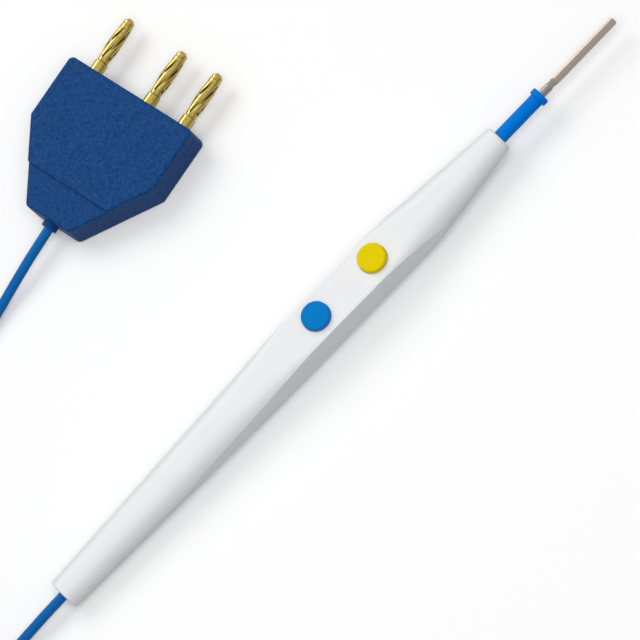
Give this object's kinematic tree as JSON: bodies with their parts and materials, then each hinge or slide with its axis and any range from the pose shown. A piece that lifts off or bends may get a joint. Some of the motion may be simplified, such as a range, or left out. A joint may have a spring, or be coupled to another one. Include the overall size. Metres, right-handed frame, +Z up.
{
  "type": "electrosurgical pencil",
  "caption": "Slim handheld electrosurgical pencil with a cut and a coag button, a flat blade electrode in a blue sleeve, a coiled cord and a fan-shaped plug with banana pins.",
  "frame": {"origin": "under the middle of the pencil, on the surface that its straight underside lies on", "axes": "+X along the pencil towards the blade's tip, +Z up through the buttons, +Y to the left when looking along +X"},
  "size_m": [0.3022, 0.1153, 0.0138],
  "materials": {
    "white_abs": "fine satin moulded ABS",
    "blue_sleeve": "smooth moulded insulator",
    "blue_plug": "spark-textured moulded polypropylene",
    "blue_pvc": "smooth flexible PVC jacket",
    "yellow_cap": "smooth moulded cap",
    "blue_cap": "smooth moulded cap",
    "natural_nylon": "unpainted nylon",
    "silicone": "translucent grey silicone",
    "stainless": "drawn and coined stainless steel",
    "spring_steel": "stamped spring steel",
    "brass": "stamped and turned brass",
    "gilt_brass": "nickel and gold flash over brass",
    "pvc_wire": "PVC covered wire",
    "tie_band": "soft woven band"
  },
  "bodies": {
    "pencil": {"upper_shell": "white_abs", "lower_shell": "white_abs", "switch_carrier": "natural_nylon", "contact_strip": "brass", "collet": "brass", "cord_clamp": "brass", "active_wire": "pvc_wire", "cut_wire": "pvc_wire", "coag_wire": "pvc_wire", "cord_lead": "blue_pvc", "cord_coil": "blue_pvc", "cord_tie": "tie_band", "plug_lead": "blue_pvc", "plug_upper_shell": "blue_plug", "plug_lower_shell": "blue_plug", "plug_grommet": "blue_pvc", "coag_dome": "spring_steel", "cut_dome": "spring_steel", "coag_boot": "silicone", "cut_boot": "silicone", "coag_contact": "brass", "cut_contact": "brass", "active_pin": "gilt_brass", "cut_pin": "gilt_brass", "coag_pin": "gilt_brass", "active_pin_leaf": "gilt_brass", "cut_pin_leaf": "gilt_brass", "coag_pin_leaf": "gilt_brass", "plug_active_wire": "pvc_wire", "plug_cut_wire": "pvc_wire", "plug_coag_wire": "pvc_wire"},
    "coag_button": {"coag_button": "blue_cap"},
    "cut_button": {"cut_button": "yellow_cap"},
    "electrode": {"electrode_blade": "stainless", "electrode_sleeve": "blue_sleeve"}
  },
  "joints": [
    {"name": "coag_press", "type": "slide", "parent": "pencil", "child": "coag_button", "axis": [0, 0, -1], "range_m": [0, 0.0007], "stiffness_N_per_m": 1500, "springref_m": -0.0003, "deforming": ["coag_dome", "coag_boot"]},
    {"name": "cut_press", "type": "slide", "parent": "pencil", "child": "cut_button", "axis": [0, 0, -1], "range_m": [0, 0.0007], "stiffness_N_per_m": 1500, "springref_m": -0.0003, "deforming": ["cut_dome", "cut_boot"]},
    {"name": "electrode_pull", "type": "slide", "parent": "pencil", "child": "electrode", "axis": [1, 0, 0], "range_m": [0, 0.016]}
  ]
}
